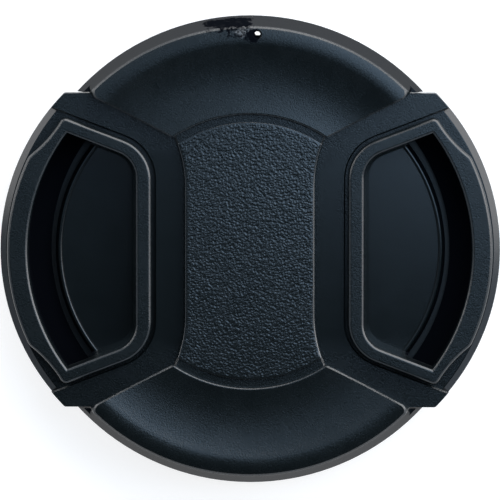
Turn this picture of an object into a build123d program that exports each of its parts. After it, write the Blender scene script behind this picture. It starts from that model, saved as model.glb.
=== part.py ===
from build123d import *
from math import asin, cos, degrees, radians, sin, sqrt, tan
import os

os.makedirs("parts", exist_ok=True)

# Clip-in cap for a 58 mm filter thread, with two sprung tabs pinched towards the middle.
# Millimetres. X is the way the tabs slide, +Y is the keeper hole, +Z is the front, Z = 0 the rear.

# Fit in the filter ring
thread_r = 28.85          # crests of the tab's thread, about the cap's axis when mounted
thread_pitch = 0.75
thread_depth = 0.4
thread_wall = 1.45        # crests to inner face
thread_half_angle = 37.0
thread_foot_w = 2.8       # foot of the threaded wall, closes the slot in front of the rear plate
thread_foot_t = 0.6
thread_gap = 0.15         # threaded wall over the rear plate
spigot_r = 28.2           # rear cover, passes inside the ring
spigot_h = 3.6            # rear face to the flange that sits on the ring
spigot_wall = 1.5
spigot_step = 0.1         # walls behind the rear plate's edge
rear_t = 1.2
rear_lead_in = 0.25

# Slide
travel = 3.4              # free to fully pinched
mounted = 1.8             # free to mounted on a lens
slide_gap = 0.15          # deck to the roof above and to the rails below
guide_gap = 0.15          # ear edge to the guide wall
stop_gap = 0.05

# Front cover
flange_r = 31.0
flange_edge = 0.4         # upright edge below the outer wall
rim_in = 1.3              # how far the smooth outer wall leans in, from the flange up to the rim
rim_h = 0.6               # rim over the bottom of the dish
crest_in = 2.6            # rim to where the dish turns over into the crest
crest_h = 0.67            # the same place over the bottom of the dish
wing_r = 18.1             # inner arc of each wing
wing_edge_h = 0.45        # inner arc over the bottom of the dish
dish_in = 3.9             # inner arc to the bottom of the dish
wing_x = 10.1             # where the slanted edge meets the inner arc
wing_slant = 27.2
roof_t = 1.35             # thinnest roof, at the bottom of the dish
wing_round = 0.25
wing_break = 0.2
wing_corner_r = 0.9
panel_w = 17.2
panel_t = 0.9
panel_flare_y = 8.4
panel_flare_r = 17.0
panel_bevel = 0.25
grain_r = 17.05           # ends of the grained field
grain_inset = 0.35
grain_h = 0.1
guide_wall = 1.35
rim_wall = 4.4            # flange edge to the pocket inside
keeper_d = 0.8
keeper_mouth_d = 1.3
keeper_mouth_angle = 82.0
keeper_in = 2.3           # flange edge to the hole
keeper_x = 1.0

# Tab
ear_half_w = 20.8
ear_round = 0.5
tab_edge_r = 29.65        # outline arc, about the cap's axis when fully pinched
tab_flange_edge = 0.62
ledge_slope = 40.0
band_outer_r = 28.65
band_w = 2.75
slot_w = 3.5              # curved slot between the band and the well's floor
deck_z = 5.65
deck_t = 1.5
groove_depth = 0.75
groove_w = 0.4
deck_bevel = 0.2
lip_x = 13.0
lip_y = 13.3              # where the lip's slanted outer edge meets its straight one
lip_slant = 21.0
lip_w = 2.05
lip_arm_w = 1.8
lip_corner_r = 5.6
lip_z = 7.2
lip_round = 0.45
band_cut_x = 24.6         # outer corner of the lip
band_cut_y = 12.5         # where the corner cut meets the band's outer arc
band_cut_sag = 0.35
band_cut_r = 2.0
lip_end_r = 0.8
well_depth = 4.2
well_draft = 9.0
floor_t = 1.0
floor_round = 0.6
tray_inset = 1.0
tongue_x = 6.0

# Springs, stops and rails
spring_od = 2.0
wire_d = 0.3
spring_turns = 6
turn_steps = 10           # straight lengths that stand for one turn
wire_sides = 6
spring_gap = 0.05
pin_gap = 0.12
pin_len = 1.8
rib_t = 1.6
rib_len = 11.0
lug_t = 1.2
lug_w = 3.6
lug_y = 7.0
lug_h = 1.4
rail_w = 1.2
rail_inset = 1.1          # rail to the ear's edge
rail_gap = 0.8            # rail's end to the flange at full pinch

# Pins that join the covers
post_d = 1.8
post_gap = 0.05
post_x = 8.0
sleeve_wall = 0.6
sleeve_h = 1.5

# Worked out from the sizes above
seat_z = spigot_h
deck_bottom = deck_z - deck_t
groove_z = deck_z - groove_depth
roof_z = deck_z + slide_gap
panel_z = roof_z + panel_t
dish_z = roof_z + roof_t
rim_z = dish_z + rim_h
band_inner_r = band_outer_r - band_w
floor_edge_r = band_inner_r - slot_w
floor_z = lip_z - well_depth
tray_z = floor_z - floor_t
tray_x = lip_x + tray_inset
half_slot = ear_half_w + guide_gap
rim_r = flange_r - rim_in
wall_foot_z = seat_z + flange_edge
wall_r = flange_r - rim_in * (roof_z - wall_foot_z) / (rim_z - wall_foot_z)
pocket_r = flange_r - rim_wall
slant = tan(radians(lip_slant))
arm_rise = lip_arm_w / cos(radians(lip_slant))
groove_rise = groove_w / cos(radians(lip_slant))
wing_y = sqrt(wing_r**2 - wing_x**2)
wing_rise = tan(radians(wing_slant))
past_edge = flange_r + travel + 2
past_top = dish_z + 2
thread_end_y = thread_r * sin(radians(thread_half_angle))
rail_z = deck_bottom - slide_gap
rail_y = ear_half_w - rail_inset - rail_w / 2
rail_end = sqrt((band_inner_r - rail_gap) ** 2 - (rail_y + rail_w / 2) ** 2)
lug_x = tongue_x + lug_t
spring_z = (tray_z + deck_bottom) / 2
pin_r = spring_od / 2 - wire_d - pin_gap
sleeve_r = post_d / 2 + post_gap + sleeve_wall
post_y = (half_slot + guide_wall + sqrt(pocket_r**2 - post_x**2)) / 2
cap_axis = Axis((0, 0, 0), (0, 0, 1))


def on_arc(radius, y):
    """Point at height y on the right of an arc about the right tab's own centre."""
    return (travel + sqrt(radius**2 - y**2), y)


def lip_line(x, rise=0.0):
    """Height at x of the lip's slanted outer edge, or of a line that lies rise above it."""
    return lip_y + slant * (x - lip_x) + rise


def well_corner():
    """Where the lip's slanted inner edge meets the inner arc of the band."""
    base = lip_line(travel, -arm_rise)
    a = 1 + slant**2
    b = slant * base
    run = (sqrt(b**2 - a * (base**2 - band_inner_r**2)) - b) / a
    return (travel + run, base + slant * run)


def radial_plane(x, angle):
    """Upright plane through a vertical axis at x, with its own X pointing out at the angle."""
    c = cos(radians(angle))
    s = sin(radians(angle))
    return Plane((x, 0, 0), x_dir=(c, s, 0), z_dir=(s, -c, 0))


# Outlines that several features of the tab share
with BuildSketch() as tab_outline:
    ear_top = on_arc(tab_edge_r, ear_half_w)
    ear_foot = (ear_top[0], -ear_half_w)
    with BuildLine():
        Polyline(ear_top, (tongue_x, ear_half_w), (tongue_x, -ear_half_w), ear_foot)
        ThreePointArc(ear_foot, (travel + tab_edge_r, 0), ear_top)
    make_face()
    fillet(tab_outline.vertices().group_by(Axis.X)[-1], ear_round)

with BuildSketch() as bay_outline:
    bay_x = lip_x - groove_w
    bay_y = lip_line(bay_x, groove_rise)
    bay_end_y = lip_line(past_edge, groove_rise)
    with BuildLine():
        bay_edge = FilletPolyline(
            (past_edge, bay_end_y),
            (bay_x, bay_y),
            (bay_x, -bay_y),
            (past_edge, -bay_end_y),
            radius=lip_corner_r + groove_w,
        )
        Line(bay_edge @ 1, bay_edge @ 0)
    make_face()

with BuildSketch() as lip_outline:
    cut_top = on_arc(band_outer_r, band_cut_y)
    cut_foot = (cut_top[0], -band_cut_y)
    lip_end = (band_cut_x, lip_line(band_cut_x))
    lip_foot = (band_cut_x, -lip_line(band_cut_x))
    with BuildLine():
        ThreePointArc(cut_foot, (travel + band_outer_r, 0), cut_top)
        SagittaArc(cut_top, lip_end, band_cut_sag)
        FilletPolyline(lip_end, (lip_x, lip_y), (lip_x, -lip_y), lip_foot, radius=lip_corner_r)
        SagittaArc(lip_foot, cut_foot, band_cut_sag)
    make_face()
    fillet(lip_outline.vertices().group_by(Axis.Y)[0], lip_end_r)
    fillet(lip_outline.vertices().group_by(Axis.Y)[-1], lip_end_r)
    fillet(lip_outline.vertices().group_by(Axis.X)[-1], band_cut_r)

with BuildSketch() as well_outline:
    well_x = lip_x + lip_w
    well_y = lip_line(well_x, -arm_rise)
    well_end = well_corner()
    well_foot = (well_end[0], -well_end[1])
    with BuildLine():
        FilletPolyline(
            well_end,
            (well_x, well_y),
            (well_x, -well_y),
            well_foot,
            radius=lip_corner_r - lip_w,
        )
        ThreePointArc(well_foot, (travel + band_inner_r, 0), well_end)
    make_face()

# Right tab: one moulding, its deck under the front cover and its finger well in the open
with BuildPart() as right_tab:
    # Flange that rests on the filter ring
    with BuildSketch(Plane.XY.offset(seat_z)):
        add(tab_outline.sketch)
        with Locations((travel, 0)):
            Circle(band_inner_r, mode=Mode.SUBTRACT)
    extrude(amount=tab_flange_edge)

    # Bevelled ledge on the flange, a cone about the tab's own centre
    ledge_z = seat_z + tab_flange_edge
    ledge_r = tab_edge_r - (groove_z - ledge_z) / tan(radians(ledge_slope))
    ledge_half_angle = degrees(asin((ear_half_w - ear_round) / tab_edge_r))
    with BuildSketch(radial_plane(travel, -ledge_half_angle)):
        with BuildLine():
            Polyline(
                (band_inner_r, ledge_z),
                (tab_edge_r, ledge_z),
                (ledge_r, groove_z),
                (band_inner_r, groove_z),
                close=True,
            )
        make_face()
    revolve(axis=Axis((travel, 0, 0), (0, 0, 1)), revolution_arc=2 * ledge_half_angle)

    # Web that carries the lip, up to the floor of the groove round it
    with BuildSketch(Plane.XY.offset(deck_bottom)):
        add(tab_outline.sketch)
        with Locations((travel, 0)):
            Circle(ledge_r, mode=Mode.INTERSECT)
    extrude(amount=groove_z - deck_bottom)

    # Deck with its two ears, open where the lip stands
    with BuildSketch(Plane.XY.offset(deck_bottom)):
        add(tab_outline.sketch)
        add(bay_outline.sketch, mode=Mode.SUBTRACT)
    extrude(amount=deck_t)
    deck_edges = right_tab.faces().sort_by(Axis.Z)[-1].edges()
    bay_edges = deck_edges.filter_by_position(Axis.Y, -lip_end[1], lip_end[1])
    chamfer(bay_edges.filter_by_position(Axis.X, tongue_x + groove_w, past_edge), deck_bevel)

    # Lip and band as one raised block, and the tray of the well below it
    with BuildSketch(Plane.XY.offset(deck_bottom)):
        add(lip_outline.sketch)
    extrude(amount=lip_z - deck_bottom)
    with BuildSketch(Plane.XY.offset(tray_z)):
        offset(lip_outline.sketch, amount=-tray_inset)
        with Locations((travel, 0)):
            Circle(floor_edge_r, mode=Mode.INTERSECT)
    extrude(amount=deck_bottom - tray_z)

    # Finger well with drafted walls, and the curved slot between its floor and the band
    with BuildSketch(Plane.XY.offset(lip_z)):
        add(well_outline.sketch)
    extrude(amount=-well_depth, mode=Mode.SUBTRACT)
    well_walls = right_tab.faces().filter_by(
        lambda f: abs(f.bounding_box().min.Z - floor_z) + abs(f.bounding_box().max.Z - lip_z) < 0.001
    )
    draft(well_walls, Plane.XY.offset(lip_z), well_draft)
    fillet(right_tab.faces().sort_by(Axis.Z)[-1].edges(), lip_round)
    with BuildSketch(Plane.XY.offset(lip_z)):
        add(well_outline.sketch)
        with Locations((travel, 0)):
            Circle(floor_edge_r, mode=Mode.SUBTRACT)
    extrude(amount=-(lip_z - rear_t), mode=Mode.SUBTRACT)
    floor_edges = right_tab.edges().filter_by_position(Axis.Z, floor_z, floor_z)
    slot_edges = floor_edges.filter_by(GeomType.CIRCLE).sort_by(SortBy.RADIUS)
    fillet(slot_edges[-1], floor_round)

    # Threaded wall under the flange, its ridges parallel to the ring, its foot over the rear plate
    wall_z = rear_t + thread_gap
    ridges = int((seat_z - wall_z) / thread_pitch + 0.001)
    root_r = thread_r - thread_depth
    inner_r = thread_r - thread_wall
    foot_r = inner_r - thread_foot_w
    foot_z = wall_z + thread_foot_t
    profile = [(inner_r, seat_z), (inner_r, foot_z), (foot_r, foot_z), (foot_r, wall_z), (root_r, wall_z)]
    for n in range(ridges):
        ridge_z = seat_z - (ridges - n) * thread_pitch
        if ridge_z > wall_z:
            profile.append((root_r, ridge_z))
        profile.append((thread_r, ridge_z + thread_pitch / 2))
    profile.append((root_r, seat_z))
    with BuildSketch(radial_plane(mounted, -thread_half_angle)):
        with BuildLine():
            Polyline(*profile, close=True)
        make_face()
    revolve(axis=Axis((mounted, 0, 0), (0, 0, 1)), revolution_arc=2 * thread_half_angle)

    # Stop lugs under the tongue and the pin that centres the spring
    with BuildSketch(Plane.XY.offset(deck_bottom)):
        with Locations((lug_x, lug_y), (lug_x, -lug_y)):
            Rectangle(lug_t, lug_w, align=(Align.MAX, Align.CENTER))
    extrude(amount=-lug_h)
    with BuildSketch(Plane.YZ.offset(tray_x)):
        with Locations((0, spring_z)):
            Circle(pin_r)
    extrude(amount=-pin_len)

# Left tab: the mirror of the right one
with BuildPart() as left_tab:
    mirror(right_tab.part, about=Plane.YZ)

# Front cover: one moulding, two dished wings joined by the grained panel
with BuildPart() as front_cover:
    # Wings: dish, crest and the upper part of the outer wall, turned and cut with slanted edges
    with BuildSketch(Plane.XZ) as ring:
        with BuildLine():
            dish = ThreePointArc(
                (wing_r, dish_z + wing_edge_h),
                (wing_r + dish_in, dish_z),
                (rim_r - crest_in, dish_z + crest_h),
            )
            crest = TangentArc(dish @ 1, (rim_r, rim_z), tangent=dish % 1)
            Polyline(crest @ 1, (wall_r, roof_z), (wing_r, roof_z), dish @ 0)
        make_face()
        fillet(ring.vertices().group_by(Axis.X)[0].sort_by(Axis.Y)[-1], wing_round)
    revolve(axis=cap_axis)
    with BuildSketch(Plane.XY.offset(roof_z)):
        slant_in_y = wing_y - wing_rise * wing_x
        slant_out_y = wing_y + wing_rise * (past_edge - wing_x)
        with BuildLine():
            Polyline(
                (0, -slant_in_y),
                (past_edge, -slant_out_y),
                (past_edge, slant_out_y),
                (0, slant_in_y),
                close=True,
            )
        make_face()
        mirror(about=Plane.YZ)
    extrude(amount=past_top - roof_z, mode=Mode.SUBTRACT)
    wing_corners = front_cover.edges().filter_by(
        lambda e: abs(e.bounding_box().min.Z - roof_z) + abs(e.bounding_box().max.Z - rim_z) < 0.001
    )
    fillet(wing_corners, wing_corner_r)
    dish_faces = front_cover.faces().filter_by(GeomType.TORUS).sort_by(SortBy.AREA)[-4:]
    chamfer(dish_faces.edges().filter_by(GeomType.CIRCLE, reverse=True), wing_break)

    # Flange and the lower part of the outer wall, open at the sides for the tabs
    with BuildSketch(Plane.XZ):
        with BuildLine():
            Polyline(
                (pocket_r, seat_z),
                (flange_r, seat_z),
                (flange_r, wall_foot_z),
                (wall_r, roof_z),
                (pocket_r, roof_z),
                close=True,
            )
        make_face()
    revolve(axis=cap_axis)
    with BuildSketch(Plane.XY.offset(seat_z)):
        Rectangle(2 * past_edge, 2 * half_slot)
    extrude(amount=roof_z - seat_z, mode=Mode.SUBTRACT)

    # Panel between the wings, flared where it meets them, with the grained field on it
    with BuildSketch(Plane.XY.offset(roof_z)) as panel_outline:
        with BuildLine():
            side = Line((panel_w / 2, 0), (panel_w / 2, panel_flare_y))
            flare = JernArc(side @ 1, side % 1, panel_flare_r, -40)
            Polyline(flare @ 1, (0, (flare @ 1).Y), (0, 0), side @ 0)
        make_face()
        mirror(about=Plane.XZ)
        mirror(about=Plane.YZ)
        Circle(wing_r + wing_round + panel_bevel, mode=Mode.INTERSECT)
    extrude(amount=panel_t - panel_bevel)
    with BuildSketch(Plane.XY.offset(panel_z - panel_bevel)):
        add(panel_outline.sketch_local)
    extrude(amount=panel_bevel, taper=45)
    with BuildSketch(Plane.XY.offset(panel_z)):
        offset(panel_outline.sketch_local, amount=-grain_inset)
        Circle(grain_r, mode=Mode.INTERSECT)
    extrude(amount=grain_h)

    # Walls that guide the ears, across each wing's pocket
    with BuildSketch(Plane.XY.offset(seat_z)):
        with Locations((0, half_slot), (0, -half_slot - guide_wall)):
            Rectangle(2 * flange_r, guide_wall, align=(Align.CENTER, Align.MIN))
        Circle(pocket_r + wing_round, mode=Mode.INTERSECT)
    extrude(amount=roof_z - seat_z + wing_round)

    # Sleeves for the rear cover's pins
    post_places = [(x, y) for x in (-post_x, post_x) for y in (-post_y, post_y)]
    with BuildSketch(Plane.XY.offset(roof_z - sleeve_h)):
        with Locations(*post_places):
            Circle(sleeve_r)
            Circle(post_d / 2 + post_gap, mode=Mode.SUBTRACT)
    extrude(amount=sleeve_h)

    # Keeper hole through the rim, with a wider mouth
    with Locations((keeper_x, flange_r - keeper_in, dish_z + crest_h)):
        CounterSinkHole(keeper_d / 2, keeper_mouth_d / 2, counter_sink_angle=keeper_mouth_angle)

# Rear cover: one moulding that goes into the ring, carries the tabs and closes the back
with BuildPart() as rear_cover:
    with BuildSketch():
        Circle(spigot_r)
    extrude(amount=rear_t)
    chamfer(rear_cover.edges().sort_by(Axis.Z)[0], rear_lead_in)
    with BuildSketch(Plane.XY.offset(rear_t)):
        Circle(spigot_r - spigot_step)
        Circle(spigot_r - spigot_wall, mode=Mode.SUBTRACT)
        Rectangle(2 * spigot_r, 2 * half_slot, mode=Mode.SUBTRACT)
    extrude(amount=seat_z - rear_t)
    with BuildSketch(Plane.XY.offset(rear_t)):
        Rectangle(2 * spigot_r, 2 * (half_slot + spigot_wall))
        Rectangle(2 * spigot_r, 2 * (thread_end_y + guide_gap), mode=Mode.SUBTRACT)
        Circle(spigot_r - spigot_step, mode=Mode.INTERSECT)
        Circle(spigot_r - spigot_wall, mode=Mode.SUBTRACT)
    extrude(amount=seat_z - slide_gap - rear_t)

    # Rails under the decks
    with BuildSketch(Plane.XY.offset(rear_t)):
        with Locations((0, rail_y), (0, -rail_y)):
            Rectangle(2 * rail_end, rail_w)
    extrude(amount=rail_z - rear_t)

    # Stops, between a lug on the inside and the well on the outside
    stop_in = lug_x + stop_gap
    stop_out = tray_x - travel - stop_gap
    stop_x = (stop_in + stop_out) / 2
    with BuildSketch(Plane.XY.offset(rear_t)):
        with Locations(*[(x, y) for x in (-stop_x, stop_x) for y in (-lug_y, lug_y)]):
            Rectangle(stop_out - stop_in, lug_w)
    extrude(amount=rail_z - rear_t)

    # Rib under the panel, with a spring pin on each side
    with BuildSketch(Plane.XY.offset(rear_t)):
        Rectangle(rib_t, rib_len)
    extrude(amount=roof_z - rear_t)
    with BuildSketch(Plane.YZ):
        with Locations((0, spring_z)):
            Circle(pin_r)
    extrude(amount=rib_t / 2 + pin_len, both=True)

    # Pins into the front cover's sleeves
    with BuildSketch(Plane.XY.offset(rear_t)):
        with Locations(*post_places):
            Circle(post_d / 2)
    extrude(amount=roof_z - stop_gap - rear_t)

# Springs: right between the rib and the right tab, left the same one turned round
with BuildPart() as right_spring:
    coil_start = rib_t / 2 + spring_gap + wire_d / 2
    coil_end = tray_x - spring_gap - wire_d / 2
    coil_len = coil_end - coil_start
    coil_r = (spring_od - wire_d) / 2
    with BuildLine(mode=Mode.PRIVATE):
        coil = Helix(coil_len / spring_turns, coil_len, coil_r, (coil_start, 0, spring_z), (1, 0, 0))
    steps = spring_turns * turn_steps
    for n in range(steps + 1):
        with BuildSketch(Plane(coil @ (n / steps), x_dir=(1, 0, 0), z_dir=coil % (n / steps))):
            RegularPolygon(wire_d / 2, wire_sides)
    loft(ruled=True)

with BuildPart() as left_spring:
    add(right_spring.part, rotation=(0, 0, 180))

front_cover.part.label = "front_cover"
rear_cover.part.label = "rear_cover"
right_tab.part.label = "right_tab"
left_tab.part.label = "left_tab"
right_spring.part.label = "right_spring"
left_spring.part.label = "left_spring"

export_step(front_cover.part, "parts/front_cover.step")
export_step(rear_cover.part, "parts/rear_cover.step")
export_step(right_tab.part, "parts/right_tab.step")
export_step(left_tab.part, "parts/left_tab.step")
export_step(right_spring.part, "parts/right_spring.step")
export_step(left_spring.part, "parts/left_spring.step")
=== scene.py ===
import math

import bmesh
import bpy
from mathutils import Matrix, Vector


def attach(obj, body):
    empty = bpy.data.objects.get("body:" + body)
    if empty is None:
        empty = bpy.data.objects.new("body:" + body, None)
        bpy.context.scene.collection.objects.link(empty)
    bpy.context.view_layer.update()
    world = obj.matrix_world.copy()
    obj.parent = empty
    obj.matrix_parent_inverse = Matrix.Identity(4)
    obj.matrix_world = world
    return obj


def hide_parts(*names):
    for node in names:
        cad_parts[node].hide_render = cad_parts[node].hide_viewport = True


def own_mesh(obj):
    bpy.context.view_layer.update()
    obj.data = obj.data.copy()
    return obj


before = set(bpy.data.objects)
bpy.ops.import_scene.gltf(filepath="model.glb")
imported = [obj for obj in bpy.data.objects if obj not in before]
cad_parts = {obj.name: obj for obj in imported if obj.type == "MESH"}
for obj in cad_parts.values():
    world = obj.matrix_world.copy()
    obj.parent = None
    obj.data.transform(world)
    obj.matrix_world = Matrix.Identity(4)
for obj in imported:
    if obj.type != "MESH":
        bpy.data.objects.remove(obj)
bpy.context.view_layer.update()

# Rear cover: the round back plate that enters the filter ring, with its walls, rails and pins.
# Black plastic from a spark-eroded mould, so its skin has a fine even tooth.
# It is pressed onto the front cover by four pins and carries both tabs.
millimetre = 0.001
black_dark = (0.0022, 0.0038, 0.0042, 1.0)
black_light = (0.0036, 0.0058, 0.0066, 1.0)
scuff_pale = (0.060, 0.066, 0.072, 1.0)
# Dark matte colour: painted shade in the tab slots, on the cover's wall and in the keeper hole's
# mouth, and real dull wear elsewhere.
matte_shade_black = (0.0024, 0.0029, 0.0042, 1.0)
cloud_scale = 0.35
cloud_rough = 0.10
tooth_scale = 5.6
tooth_rough = 0.12
polished_rough = 0.21
polished_cloud = 0.05
polish_takes = 0.75
scuff_scale = 2.5
scuff_rough = 0.15
scuff_height = 2.0


class Socket:
    """A socket of a node tree, for maths written as expressions."""

    def __init__(self, tree, socket=None):
        self.tree = tree
        self.socket = socket

    def node(self, kind, settings=None, sockets=None, output=0):
        made = self.tree.nodes.new(kind)
        for name, value in (settings or {}).items():
            setattr(made, name, value)
        for name, value in (sockets or {}).items():
            if isinstance(value, Socket):
                self.tree.links.new(value.socket, made.inputs[name])
            else:
                made.inputs[name].default_value = value
        return Socket(self.tree, made.outputs[output])

    def math(self, operation, *others):
        values = {0: self}
        values.update(enumerate(others, 1))
        return self.node("ShaderNodeMath", {"operation": operation}, values)

    def __add__(self, other):
        return self.math("ADD", other)

    def __sub__(self, other):
        return self.math("SUBTRACT", other)

    def __mul__(self, other):
        return self.math("MULTIPLY", other)

    def __truediv__(self, other):
        return self.math("DIVIDE", other)

    def __radd__(self, other):
        return self.math("ADD", other)

    def __rmul__(self, other):
        return self.math("MULTIPLY", other)

    def __rsub__(self, other):
        return self.node("ShaderNodeMath", {"operation": "SUBTRACT"}, {0: other, 1: self})

    def root(self):
        return self.math("SQRT")

    def axis(self, number):
        return self.node("ShaderNodeSeparateXYZ", None, {0: self}, number)

    def ramp(self, low, high):
        """0 below low, 1 above high, smooth between them."""
        ends = {"Value": self, "From Min": low, "From Max": high}
        return self.node("ShaderNodeMapRange", {"interpolation_type": "SMOOTHSTEP"}, ends)


def start_finish(name):
    """A new material, its shader, and the place in millimetres that its pattern reads."""
    material = bpy.data.materials.new(name)
    material.use_nodes = True
    tree = material.node_tree
    shader = tree.nodes["Principled BSDF"]
    place = Socket(tree).node("ShaderNodeTexCoord", output="Object")
    scaled = {0: place, "Scale": 1 / millimetre}
    return material, shader, place.node("ShaderNodeVectorMath", {"operation": "SCALE"}, scaled)


def grain(place, scale, detail=2.0):
    """Fine noise, about 0 to 1, with scale bumps to the millimetre."""
    sockets = {"Vector": place, "Scale": scale, "Detail": detail, "Roughness": 0.6}
    return place.node("ShaderNodeTexNoise", None, sockets)


def plug(shader, socket, value):
    shader.id_data.links.new(value.socket, shader.inputs[socket])


def tinted(amount, dark, light):
    """A colour between dark and light."""
    mix = {"data_type": "RGBA", "blend_type": "MIX"}
    return amount.node("ShaderNodeMix", mix, {0: amount, 6: dark, 7: light}, 2)


def bumped(height, depth):
    """The normal of a surface with this height, given in shares of a depth in millimetres."""
    sockets = {"Height": height, "Distance": depth * millimetre}
    return height.node("ShaderNodeBump", None, sockets)


def black_plastic(name, rough, tooth=0.042, ior=1.5, polish=None, pale=None, dull_and_shade=None, lean=None):
    """Moulded black plastic. polish and pale say, from the place, where it is smooth or scuffed
    light;
    the third mask says where it is dark matte without gloss, painted shade in places and dull wear
    in others; lean adds a height in millimetres."""
    material, shader, place = start_finish(name)
    cloud = grain(place, cloud_scale, 3.0)
    pits = grain(place, tooth_scale)
    skin = rough + cloud_rough * (cloud - 0.5) + tooth_rough * (pits - 0.5)
    height = pits
    colour = tinted(cloud, black_dark, black_light)
    if polish is not None:
        mask = polish(place)
        polished = polished_rough + polished_cloud * (cloud - 0.5)
        skin = skin * (1 - mask) + mask * polished
        height = height * (1 - polish_takes * mask)
    if pale is not None:
        mask = pale(place)
        skin = skin + scuff_rough * mask
        colour = tinted(mask, colour, scuff_pale)
        height = height + scuff_height * mask * grain(place, scuff_scale, 4.0)
    if lean is not None:
        height = height + lean(place) / tooth
    plug(shader, "Roughness", skin)
    plug(shader, "Base Color", colour)
    plug(shader, "Normal", bumped(height, tooth))
    shader.inputs["IOR"].default_value = ior
    # Where that mask is high, gloss gives way to dark matte: painted shade in places, dull wear in
    # others.
    if dull_and_shade is not None:
        glossy = Socket(material.node_tree, shader.outputs["BSDF"])
        dull = place.node("ShaderNodeBsdfDiffuse", None, {"Color": matte_shade_black})
        both = place.node("ShaderNodeMixShader", None, {0: dull_and_shade(place), 1: glossy, 2: dull})
        leave = material.node_tree.nodes["Material Output"]
        material.node_tree.links.new(both.socket, leave.inputs["Surface"])
    return material


def dress(node, material):
    """Gives a node of the frame its finish."""
    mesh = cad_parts[node].data
    mesh.materials.clear()
    mesh.materials.append(material)


dress("rear_cover", black_plastic("rear_plastic", rough=0.50))

# Tabs: two mirrored mouldings that slide under the front cover on the rails.
# Black plastic, satin on the ears and band, smooth where fingers rub it, dark matte deep in the
# curved slot as painted shade.
# Each is held out by its spring and stopped by lugs on the rear cover.
sides = ((1, "right"), (-1, "left"))
tab_travel = 3.4
tab_centre = tab_travel
ledge_side = (28.7, 28.85)
ledge_top = (4.95, 5.05)
ledge_dull = 0.35
slot_inside = (21.95, 22.1)
slot_outside = (26.0, 26.2)
slot_top = (4.6, 5.0)
lip_foot = (5.8, 6.2)
lip_edge = (6.75, 6.8625)
lip_crown = (7.15, 7.185)
thumb_end = (11.0, 15.0)
thumb_polish = 0.8


def tab_radius(place, side):
    """Distance from the tab's own centre, about which its arcs are turned."""
    x = place.axis(0) - side * tab_centre
    y = place.axis(1)
    return (x * x + y * y).root()


def ledge(place, side):
    """The bevelled strip round the outside, below the outer band."""
    outside = tab_radius(place, side).ramp(*ledge_side)
    return outside * (1 - place.axis(2).ramp(*ledge_top))


def tab_polish(side):
    """The ledge, the deck and well between the ears, and the lip's rounded edges."""
    def polish(place):
        strip = ledge(place, side)
        low = 1 - place.axis(2).ramp(*lip_foot)
        between = 1 - place.axis(1).math("ABSOLUTE").ramp(*thumb_end)
        edge = place.axis(2).ramp(*lip_edge) * (1 - place.axis(2).ramp(*lip_crown))
        return strip + thumb_polish * low * between * (1 - strip) + edge

    return polish


def tab_slot_shade_and_dust(side):
    """The curved slot, dark matte deep down as painted shade, and the dusty ledge."""
    def dull_and_shade(place):
        # Deep in the curved slot the gloss gives way to dark matte: painted shade.
        deep = 1 - place.axis(2).ramp(*slot_top)
        radius = tab_radius(place, side)
        slot = radius.ramp(*slot_inside) * (1 - radius.ramp(*slot_outside))
        return deep * slot + ledge_dull * ledge(place, side)

    return dull_and_shade


for side, name in sides:
    tab_finish = black_plastic(
        name + "_tab_plastic", rough=0.28, polish=tab_polish(side), dull_and_shade=tab_slot_shade_and_dust(side),
    )
    dress(name + "_tab", tab_finish)

# Well beads: a rounded bead along the outer edge of each well's floor, beside the curved slot.
# The same black plastic as the tab, rubbed smooth on its crown.
# It is moulded with the floor, so it is swept along the floor's edge and sunk into it.
scene = bpy.context.scene
bead_radius = 0.32
bead_path = 21.8
bead_height = 2.98
bead_half_angle = 41.0


def new_group(name, inputs):
    """A geometry node group with named inputs, as (group, sockets by name)."""
    group = bpy.data.node_groups.new(name, "GeometryNodeTree")
    group.interface.new_socket("Geometry", in_out="OUTPUT", socket_type="NodeSocketGeometry")
    for label, kind in inputs:
        group.interface.new_socket(label, in_out="INPUT", socket_type=kind)
    entry = group.nodes.new("NodeGroupInput")
    return group, {label: Socket(group, entry.outputs[label]) for label, kind in inputs}


def close_group(group, geometry, material):
    """Ends a group in real faces that have their finish."""
    real = geometry.node("GeometryNodeRealizeInstances", None, {"Geometry": geometry})
    painted = real.node("GeometryNodeSetMaterial", None, {"Geometry": real, "Material": material})
    leave = group.nodes.new("NodeGroupOutput")
    group.links.new(painted.socket, leave.inputs["Geometry"])


def grow(name, group, values):
    """Runs a group with these inputs and keeps what it makes as a plain mesh object."""
    seed_object = bpy.data.objects.new(name + "_seed", bpy.data.meshes.new(name + "_seed"))
    scene.collection.objects.link(seed_object)
    modifier = seed_object.modifiers.new("grow", "NODES")
    modifier.node_group = group
    for item in group.interface.items_tree:
        if item.in_out == "INPUT":
            modifier[item.identifier] = values[item.name]
    shape = seed_object.evaluated_get(bpy.context.evaluated_depsgraph_get())
    mesh = bpy.data.meshes.new_from_object(shape)
    bpy.data.objects.remove(seed_object)
    made = bpy.data.objects.new(name, mesh)
    scene.collection.objects.link(made)
    return made


bead_group, bead = new_group("floor_bead", [
    ("Centre", "NodeSocketVector"),
    ("Path Radius", "NodeSocketFloat"),
    ("Start Angle", "NodeSocketFloat"),
    ("Sweep Angle", "NodeSocketFloat"),
    ("Bead Radius", "NodeSocketFloat"),
    ("Material", "NodeSocketMaterial"),
])
floor_edge = Socket(bead_group).node("GeometryNodeCurveArc", None, {
    "Resolution": 97,
    "Radius": bead["Path Radius"],
    "Start Angle": bead["Start Angle"],
    "Sweep Angle": bead["Sweep Angle"],
})
floor_edge = floor_edge.node("GeometryNodeTransform", None, {
    "Geometry": floor_edge,
    "Translation": bead["Centre"],
})
bead_section = floor_edge.node("GeometryNodeCurvePrimitiveCircle", None, {
    "Resolution": 20,
    "Radius": bead["Bead Radius"],
})
swept = floor_edge.node("GeometryNodeCurveToMesh", None, {
    "Curve": floor_edge,
    "Profile Curve": bead_section,
    "Fill Caps": True,
})
swept = swept.node("GeometryNodeSetShadeSmooth", None, {"Geometry": swept, "Shade Smooth": True})
close_group(bead_group, swept, bead["Material"])

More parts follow.
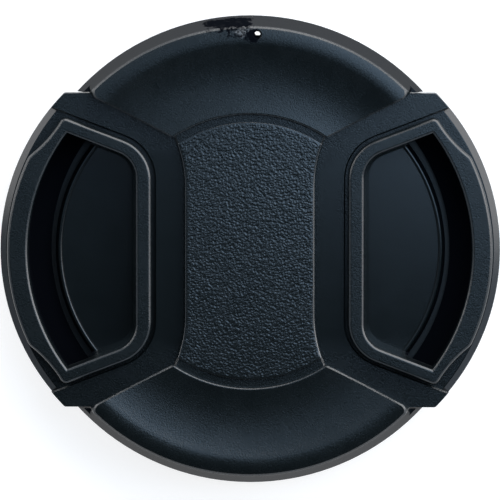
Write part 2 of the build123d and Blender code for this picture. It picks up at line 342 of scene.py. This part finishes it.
bead_finish = black_plastic("bead_plastic", rough=0.21, tooth=0.012)
for side, name in sides:
    facing = 0.0 if side > 0 else math.pi
    floor_bead = grow(name + "_floor_bead", bead_group, {
        "Centre": Vector((side * tab_centre, 0.0, bead_height)) * millimetre,
        "Path Radius": bead_path * millimetre,
        "Start Angle": facing - math.radians(bead_half_angle),
        "Sweep Angle": math.radians(2 * bead_half_angle),
        "Bead Radius": bead_radius * millimetre,
        "Material": bead_finish,
    })
    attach(floor_bead, name + "_tab_body")

# Slot ends: a short web under each arm of the lip that closes the end of the curved slot.
# The same black plastic as the tab, left dull by the mould.
# They are moulded with the tab, between the edge of the floor and the outer band.
web_plan = ((20.2, 14.15), (24.6, 15.82), (24.3, 16.55), (19.9, 14.88))
web_foot = 2.0
web_head = 4.4
web_round = 0.12

web_finish = black_plastic("web_plastic", rough=0.45)
for side, name in sides:
    webs = bmesh.new()
    for end in (1, -1):
        rings = []
        for height in (web_foot, web_head):
            corners = [Vector((side * x, end * y, height)) * millimetre for x, y in web_plan]
            rings.append([webs.verts.new(corner) for corner in corners])
        low, high = rings
        webs.faces.new(low)
        webs.faces.new(high)
        for here in range(len(web_plan)):
            after = (here + 1) % len(web_plan)
            webs.faces.new((low[here], low[after], high[after], high[here]))
    bmesh.ops.recalc_face_normals(webs, faces=webs.faces)
    web_edges = list(webs.edges)
    bmesh.ops.bevel(webs, geom=web_edges, offset=web_round * millimetre, segments=2, affect="EDGES")
    web_mesh = bpy.data.meshes.new(name + "_slot_ends")
    webs.to_mesh(web_mesh)
    webs.free()
    web_mesh.materials.append(web_finish)
    slot_ends = bpy.data.objects.new(name + "_slot_ends", web_mesh)
    scene.collection.objects.link(slot_ends)
    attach(slot_ends, name + "_tab_body")

# Springs: a compression coil from the rear cover's rib to each tab, closed by a turn at both ends.
# Bright drawn spring wire, wound in a helix, slipped over two short pins.
# Each shortens towards the rib as its tab is pinched; here each is made at one length and fixed to
# the cap body.
coil_from = 1.0
coil_to = 13.8
coil_radius = 0.85
coil_height = 3.075
coil_turns = 9.0
closed_turns = 1.0
closed_pitch = 2.1
wire_radius = 0.15
wire_streaks = 6.0
wire_dark = (0.42, 0.42, 0.43, 1.0)
wire_light = (0.60, 0.60, 0.61, 1.0)

coil_group, coil = new_group("coil", [
    ("From", "NodeSocketFloat"),
    ("To", "NodeSocketFloat"),
    ("Turns", "NodeSocketFloat"),
    ("Closed Turns", "NodeSocketFloat"),
    ("Coil Radius", "NodeSocketFloat"),
    ("Wire Radius", "NodeSocketFloat"),
    ("Height", "NodeSocketFloat"),
    ("Material", "NodeSocketMaterial"),
])
helix = Socket(coil_group).node("GeometryNodeCurveSpiral", None, {
    "Resolution": 32,
    "Rotations": coil["Turns"],
    "Start Radius": coil["Coil Radius"],
    "End Radius": coil["Coil Radius"],
    "Height": 1.0,
})
wound = helix.node("GeometryNodeInputPosition")
share = wound.axis(2)
closed_share = coil["Closed Turns"] / coil["Turns"]
closed_length = coil["Wire Radius"] * closed_pitch * coil["Closed Turns"]
outward = (coil["To"] - coil["From"]).math("SIGN")
open_length = coil["To"] - coil["From"] - 2 * outward * closed_length


def along(low, high):
    """How far the wire has come between two shares of the winding, 0 to 1."""
    ends = {"Value": share, "From Min": low, "From Max": high}
    return share.node("ShaderNodeMapRange", None, ends)


first = along(0.0, closed_share) * closed_length * outward
middle = along(closed_share, 1 - closed_share) * open_length
last = along(1 - closed_share, 1.0) * closed_length * outward
laid = helix.node("ShaderNodeCombineXYZ", None, {
    "X": coil["From"] + first + middle + last,
    "Y": wound.axis(0),
    "Z": wound.axis(1) + coil["Height"],
})
wire_path = helix.node("GeometryNodeSetPosition", None, {"Geometry": helix, "Position": laid})
wire_section = helix.node("GeometryNodeCurvePrimitiveCircle", None, {
    "Resolution": 12,
    "Radius": coil["Wire Radius"],
})
wire = wire_path.node("GeometryNodeCurveToMesh", None, {
    "Curve": wire_path,
    "Profile Curve": wire_section,
    "Fill Caps": True,
})
close_group(coil_group, wire, coil["Material"])

wire_finish, wire_shader, wire_place = start_finish("spring_wire")
drawn = grain(wire_place, wire_streaks)
plug(wire_shader, "Base Color", tinted(drawn, wire_dark, wire_light))
plug(wire_shader, "Roughness", 0.22 + 0.12 * drawn)
wire_shader.inputs["Metallic"].default_value = 1.0
for side, name in sides:
    spring = grow(name + "_coil", coil_group, {
        "From": side * coil_from * millimetre,
        "To": side * coil_to * millimetre,
        "Turns": coil_turns,
        "Closed Turns": closed_turns,
        "Coil Radius": coil_radius * millimetre,
        "Wire Radius": wire_radius * millimetre,
        "Height": coil_height * millimetre,
        "Material": wire_finish,
    })
    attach(spring, "cap_body")
    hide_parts(name + "_spring")
    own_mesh(spring)

# Front cover: the hourglass moulding, two dished wings joined by a panel.
# Black plastic, satin in the dishes, torn by the keeper hole, with painted shade on the outer wall
# and in the keeper hole's mouth, where gloss gives way to dark matte.
# It closes the cap from the front and is held by the rear cover's pins.
wall_side = (29.72, 29.82)
# Share of the outer wall's gloss swapped for dark matte, as painted shade.
wall_shade_share = 0.71
dish_from = 17.9
dish_to = 27.5
dish_slope = math.tan(math.radians(2.6))
tear_coarse = 3.0
tear_fine = 1.2
torn_left = (-6.2, -5.4)
torn_right = (-0.1, 0.4)
torn_edge = (29.5, 29.9)
torn_lean = 0.30
torn_foot = (4.6, 5.2)
torn_mottle = (0.40, 0.56)
torn_least = 0.25
mouth_x = 0.6
mouth_y = 28.45
# Edge of the painted shade in the keeper hole's mouth.
shaded_mouth_edge = (0.8, 1.0)
fleck_x = -0.9
fleck_y = 28.9
fleck_noise = (0.46, 0.60)
fleck_fade = (0.4, 1.2)


def cap_radius(place):
    """Distance from the cap's axis."""
    x = place.axis(0)
    y = place.axis(1)
    return (x * x + y * y).root()


def outer_wall(place):
    """The smooth wall outside the rim."""
    return cap_radius(place).ramp(*wall_side)


def ragged(place):
    """A torn outline, in millimetres."""
    coarse = grain(place, 0.7, 6.0) - 0.5
    fine = grain(place, 3.0, 4.0) - 0.5
    return tear_coarse * coarse + tear_fine * fine


def chafed(place):
    """Light flecks where the rim is worn beside the keeper hole."""
    x = place.axis(0) - fleck_x
    y = place.axis(1) - fleck_y
    away = (0.5 * x * x + 2 * y * y).root()
    flecks = grain(place, 3.2, 5.0).ramp(*fleck_noise)
    return flecks * (1 - (away + ragged(place)).ramp(*fleck_fade))


def tear_and_painted_shade(place):
    """Painted shade on the outer wall, the torn patch beside the keeper hole, and painted shade in
    the hole's mouth.
    """
    tear = ragged(place)
    x = place.axis(0) + tear
    y = place.axis(1) + tear
    z = place.axis(2) + 0.5 * tear
    torn = x.ramp(*torn_left) * (1 - x.ramp(*torn_right)) * z.ramp(*torn_foot)
    torn = torn * (y + torn_lean * (x - torn_left[0])).ramp(*torn_edge)
    mottle = grain(place, 2.2, 6.0).ramp(*torn_mottle)
    torn = torn * (torn_least + (1 - torn_least) * mottle) * (1 - chafed(place))
    from_x = place.axis(0) - mouth_x
    from_y = place.axis(1) - mouth_y
    from_mouth = (from_x * from_x + from_y * from_y).root() + 0.4 * tear
    # A dark matte ring round the keeper hole: painted shade for the mouth's hollow.
    mouth_shade = 1 - from_mouth.ramp(*shaded_mouth_edge)
    # Most of the outer wall's gloss gives way to dark matte: painted shade.
    return wall_shade_share * outer_wall(place) + torn.math("MAXIMUM", mouth_shade)


def dish(place):
    """The wings rise a little more towards the rim."""
    return dish_slope * cap_radius(place).math("MAXIMUM", dish_from).math("MINIMUM", dish_to)


cover_finish = black_plastic(
    "cover_plastic",
    rough=0.27,
    tooth=0.036,
    polish=outer_wall,
    pale=chafed,
    dull_and_shade=tear_and_painted_shade,
    lean=dish,
)
dress("front_cover", cover_finish)

# Grained field: the worm-like grain moulded into the middle of the front cover.
# The same black plastic as the cover, on which it is one skin with a rolled edge.
# A grid is drawn to the field's outline and raised along the ridges of a noise.
field_half = 8.62
flare_from = 8.4
flare_radius = 16.98
field_end = 17.05
field_base = 6.805
field_rise = 0.05
corner_x = 9.60
corner_y = math.sqrt(field_end**2 - corner_x**2)
worm_sharpness = 6.0
plain_side = (0.9, 1.4)
plain_end = (0.05, 0.3)

field_group, field = new_group("grained_field", [
    ("Columns", "NodeSocketInt"),
    ("Rows", "NodeSocketInt"),
    ("Base", "NodeSocketFloat"),
    ("Rise", "NodeSocketFloat"),
    ("Edge Round", "NodeSocketFloat"),
    ("Grain Depth", "NodeSocketFloat"),
    ("Grain Per Millimetre", "NodeSocketFloat"),
    ("Seed", "NodeSocketFloat"),
    ("Material", "NodeSocketMaterial"),
])
sheet = Socket(field_group).node("GeometryNodeMeshGrid", None, {
    "Size X": 2.0,
    "Size Y": 2.0,
    "Vertices X": field["Columns"],
    "Vertices Y": field["Rows"],
})
raw = sheet.node("GeometryNodeInputPosition")
u = raw.axis(0)
v = raw.axis(1)
end_y = (field_end**2 - u * u * corner_x**2).root()
field_y = v * end_y
from_middle = field_y.math("ABSOLUTE")
past_flare = (from_middle.math("MINIMUM", corner_y) - flare_from).math("MAXIMUM", 0.0)
half = field_half + flare_radius - (flare_radius**2 - past_flare * past_flare).root()
field_x = u * half
flat = sheet.node("ShaderNodeCombineXYZ", None, {"X": field_x, "Y": field_y, "Z": field["Seed"]})
wander = sheet.node("ShaderNodeTexNoise", None, {
    "Vector": flat,
    "Scale": field["Grain Per Millimetre"],
    "Detail": 0.0,
})
from_ridge = (wander - 0.5) * worm_sharpness
worm = (0 - from_ridge * from_ridge).math("EXPONENT")
edge_round = field["Edge Round"]
from_side = half - field_x.math("ABSOLUTE")
rolled = (edge_round - from_side).math("MAXIMUM", 0.0)
fall = edge_round - (edge_round * edge_round - rolled * rolled).root()
inside_x = from_side.ramp(*(edge_round * part for part in plain_side))
inside_y = (end_y - from_middle).ramp(*plain_end)
ridges = field["Grain Depth"] * worm * inside_x * inside_y
top = field["Base"] + field["Rise"] - fall + ridges
spot = sheet.node("ShaderNodeCombineXYZ", None, {
    "X": field_x * millimetre,
    "Y": field_y * millimetre,
    "Z": top * millimetre,
})
raised = sheet.node("GeometryNodeSetPosition", None, {"Geometry": sheet, "Position": spot})
faces_beside = sheet.node("GeometryNodeInputMeshEdgeNeighbors")
whole_equal = {"data_type": "INT", "operation": "EQUAL"}
border = faces_beside.node("FunctionNodeCompare", whole_equal, {2: faces_beside, 3: 1})
drop = sheet.node("ShaderNodeCombineXYZ", None, {"Z": field["Rise"] * -millimetre})
skirted = raised.node("GeometryNodeExtrudeMesh", {"mode": "EDGES"}, {
    "Mesh": raised,
    "Selection": border,
    "Offset": drop,
    "Offset Scale": 1.0,
})
smooth = {"Geometry": skirted, "Shade Smooth": True}
soft = skirted.node("GeometryNodeSetShadeSmooth", None, smooth)
close_group(field_group, soft, field["Material"])


def rolled_edge(place):
    """The smooth rolled edge round the grain."""
    return 1 - place.axis(2).ramp(field_base + 0.8 * field_rise, field_base + field_rise)


field_finish = black_plastic("field_plastic", rough=0.26, tooth=0.020, ior=1.70, polish=rolled_edge)
grained = grow("grained_field", field_group, {
    "Columns": 210,
    "Rows": 440,
    "Base": field_base,
    "Rise": field_rise,
    "Edge Round": 0.36,
    "Grain Depth": 0.052,
    "Grain Per Millimetre": 3.5,
    "Seed": 3.0,
    "Material": field_finish,
})
skin = bmesh.new()
skin.from_mesh(grained.data)
bmesh.ops.holes_fill(skin, edges=[edge for edge in skin.edges if edge.is_boundary], sides=0)
bmesh.ops.recalc_face_normals(skin, faces=skin.faces)
skin.to_mesh(grained.data)
skin.free()
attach(grained, "cap_body")

# Studio: a sheet of pale paper on which the cap lies on its back, front up.
# The surround is dark overhead and white low down, with two brighter sides that draw the edges.
# Two soft lamps stand above, and the camera looks down, leaning a little up and to the right.
floor_half = 0.6
floor_below = 0.05
paper_cream = (0.84, 0.76, 0.64, 1.0)
paper_grey = (0.35, 0.35, 0.35, 1.0)
paper_white = (1.0, 1.0, 1.0, 1.0)
paper_glow = 0.80

floor_z = -floor_below * millimetre
floor_plan = ((-1, -1), (1, -1), (1, 1), (-1, 1))
floor_corners = [(x * floor_half, y * floor_half, floor_z) for x, y in floor_plan]
floor_mesh = bpy.data.meshes.new("floor")
floor_mesh.from_pydata(floor_corners, [], [(0, 1, 2, 3)])
floor = bpy.data.objects.new("floor", floor_mesh)
scene.collection.objects.link(floor)
floor_finish = bpy.data.materials.new("floor_paper")
floor_finish.use_nodes = True
floor_nodes = floor_finish.node_tree.nodes
floor_nodes.remove(floor_nodes["Principled BSDF"])
paper = Socket(floor_finish.node_tree)
seen = paper.node("ShaderNodeLightPath", output="Is Camera Ray")
seen = seen + paper.node("ShaderNodeLightPath", output="Is Glossy Ray")
seen = seen + paper.node("ShaderNodeLightPath", output="Is Transmission Ray")
matte = paper.node("ShaderNodeBsdfDiffuse", None, {"Color": paper_cream})
faint = paper.node("ShaderNodeBsdfDiffuse", None, {"Color": paper_grey})
glow = paper.node("ShaderNodeEmission", None, {"Color": paper_white, "Strength": paper_glow})
lit = paper.node("ShaderNodeAddShader", None, {0: faint, 1: glow})
whole = paper.node("ShaderNodeMixShader", None, {0: seen, 1: matte, 2: lit})
floor_finish.node_tree.links.new(whole.socket, floor_nodes["Material Output"].inputs["Surface"])
floor_mesh.materials.append(floor_finish)

ring_dark = 0.03
ring_bright = 1.25
ring_tilt = (50.0, 76.0)
ring_tint = (0.84, 0.97, 1.14)
more_east = 0.30
more_north = 0.10
window_tint = (1.0, 0.98, 0.97)
world = bpy.data.worlds.new("surround")
world.use_nodes = True
scene.world = world
world_nodes = world.node_tree.nodes
world_nodes.remove(world_nodes["Background"])
sky = Socket(world.node_tree)
direction = sky.node("ShaderNodeTexCoord")
tilt = direction.axis(2).math("ARCCOSINE") * (180 / math.pi)
ring_light = ring_dark + ring_bright * tilt.ramp(*ring_tilt)
side_light = 1.0 + more_east * direction.axis(0) + more_north * direction.axis(1)
level = (1 - direction.axis(2) * direction.axis(2)).math("MAXIMUM", 0.0001).root()


def facing_light(turn, none, full, low, high):
    """Light from a compass turn in degrees, that grows between two cosines off it and two tilts."""
    east = math.cos(math.radians(turn)) * direction.axis(0)
    north = math.sin(math.radians(turn)) * direction.axis(1)
    return ((east + north) / level).ramp(none, full) * tilt.ramp(low, high)


def coloured(tint, amount):
    return sky.node("ShaderNodeVectorMath", {"operation": "SCALE"}, {0: tint, "Scale": amount})


right_window = 5.0 * facing_light(turn=52.0, none=0.40, full=0.72, low=44.0, high=54.0)
left_window = 4.0 * facing_light(turn=150.0, none=0.86, full=0.95, low=66.0, high=76.0)
light = sky.node("ShaderNodeVectorMath", {"operation": "ADD"}, {
    0: coloured(ring_tint, ring_light * side_light),
    1: coloured(window_tint, right_window + left_window),
})
surround = sky.node("ShaderNodeBackground", None, {"Color": light, "Strength": 1.0})
world.node_tree.links.new(surround.socket, world_nodes["World Output"].inputs["Surface"])

lamp_size = 0.17
lamp_tint = (0.69, 1.0, 1.38)
lamps = (
    ("softbox", 0.175, (0.096, 0.084, 0.150)),
    ("fill", 0.040, (-0.090, 0.090, 0.150)),
)
for lamp_name, energy, lamp_place in lamps:
    lamp_data = bpy.data.lights.new(lamp_name, "AREA")
    lamp_data.size = lamp_size
    lamp_data.energy = energy
    lamp_data.color = lamp_tint
    lamp = bpy.data.objects.new(lamp_name, lamp_data)
    scene.collection.objects.link(lamp)
    lamp.location = lamp_place
    lamp.visible_camera = False

camera_far = 1.0
frame_width = 66.1 * millimetre
target = Vector((0.0, 0.0, 5.0)) * millimetre
lean_right = math.tan(math.radians(1.0))
lean_up = math.tan(math.radians(5.0))
toward_camera = Vector((lean_right, lean_up, 1.0)).normalized()
across = Vector((0.0, 1.0, 0.0)).cross(toward_camera).normalized()
camera_turn = Matrix((across, toward_camera.cross(across), toward_camera)).transposed()
camera_data = bpy.data.cameras.new("camera")
camera_data.lens = camera_data.sensor_width * camera_far / frame_width
camera_data.clip_start = 0.01
camera = bpy.data.objects.new("camera", camera_data)
scene.collection.objects.link(camera)
camera.rotation_euler = camera_turn.to_euler()
camera.location = target + camera_far * toward_camera
scene.camera = camera
scene.view_settings.view_transform = "Standard"
